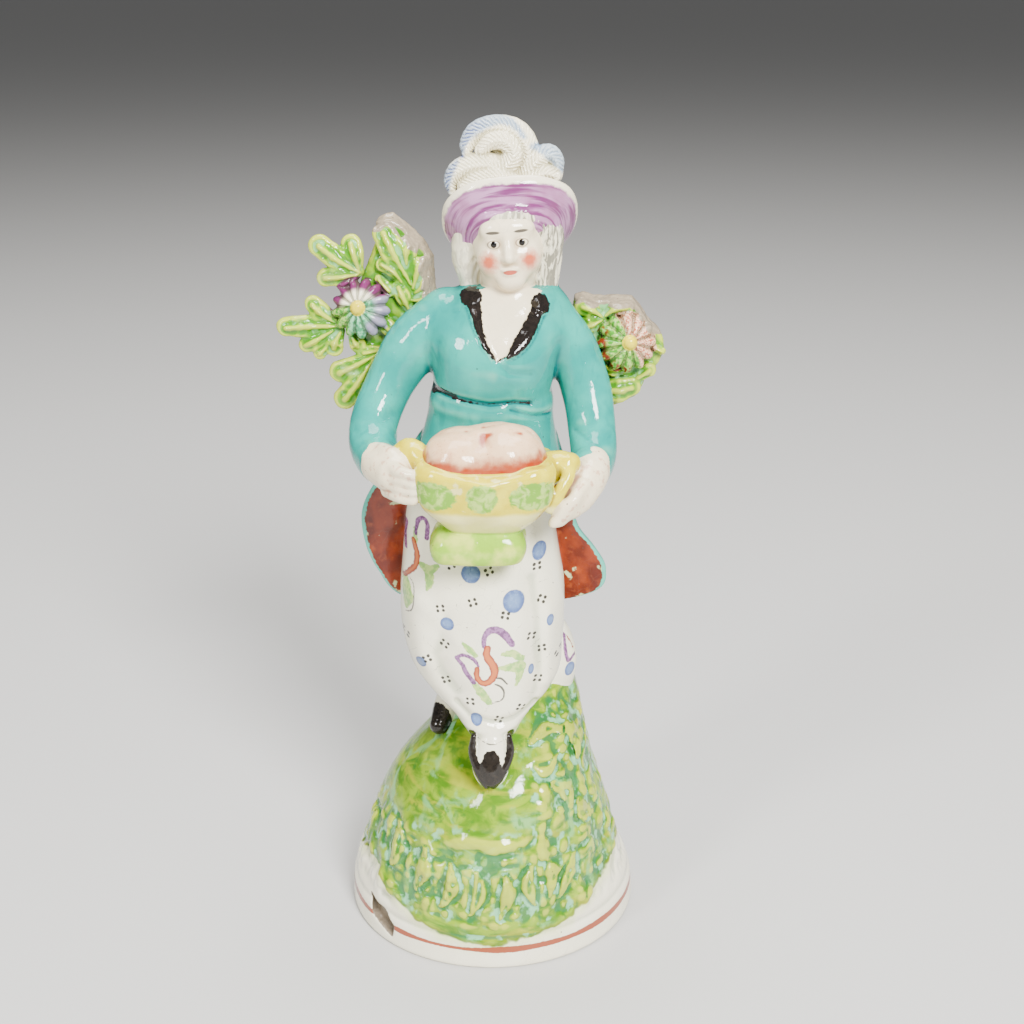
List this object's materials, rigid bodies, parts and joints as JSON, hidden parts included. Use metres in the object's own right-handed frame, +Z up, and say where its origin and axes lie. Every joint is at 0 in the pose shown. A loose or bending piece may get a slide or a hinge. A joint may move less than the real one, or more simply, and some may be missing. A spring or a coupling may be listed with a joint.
{
  "type": "earthenware figurine",
  "caption": "Lead-glazed earthenware figurine of a woman in a plumed hat holding a footed tureen, on a round grassy mound with broken leaf sprays behind her",
  "frame": {"origin": "middle of the round base's flat underside, on the surface it stands on", "axes": "+Z up, the figure faces -Y, +X is to the viewer's right when it is seen from the front"},
  "size_m": [0.0892, 0.0712, 0.1898],
  "materials": {
    "pearl_glaze": "clear lead glaze over cream-white earthenware, glossy and finely crazed",
    "grass_glaze": "pooled green and yellow-green glaze over a modelled grassy mound, very glossy",
    "dress_glaze": "cream-white glaze with painted blue dots, black specks and small flower sprigs",
    "jacket_glaze": "turquoise glaze, darker where it pools, with a red-brown lining and black edging",
    "flesh_glaze": "cream glaze with painted features, rosy cheeks and grey-streaked hair",
    "hat_glaze": "streaky brushed purple-pink enamel with a cream edge",
    "plume_glaze": "cream glaze over modelled feather barbs, tipped with blue",
    "tureen_glaze": "yellow glaze with green panels, and cream and red-brown food",
    "leaf_glaze": "bright green glaze over moulded leaves, with bare grey-brown breaks"
  },
  "bodies": {
    "root": {"figure": "pearl_glaze"}
  },
  "joints": []
}
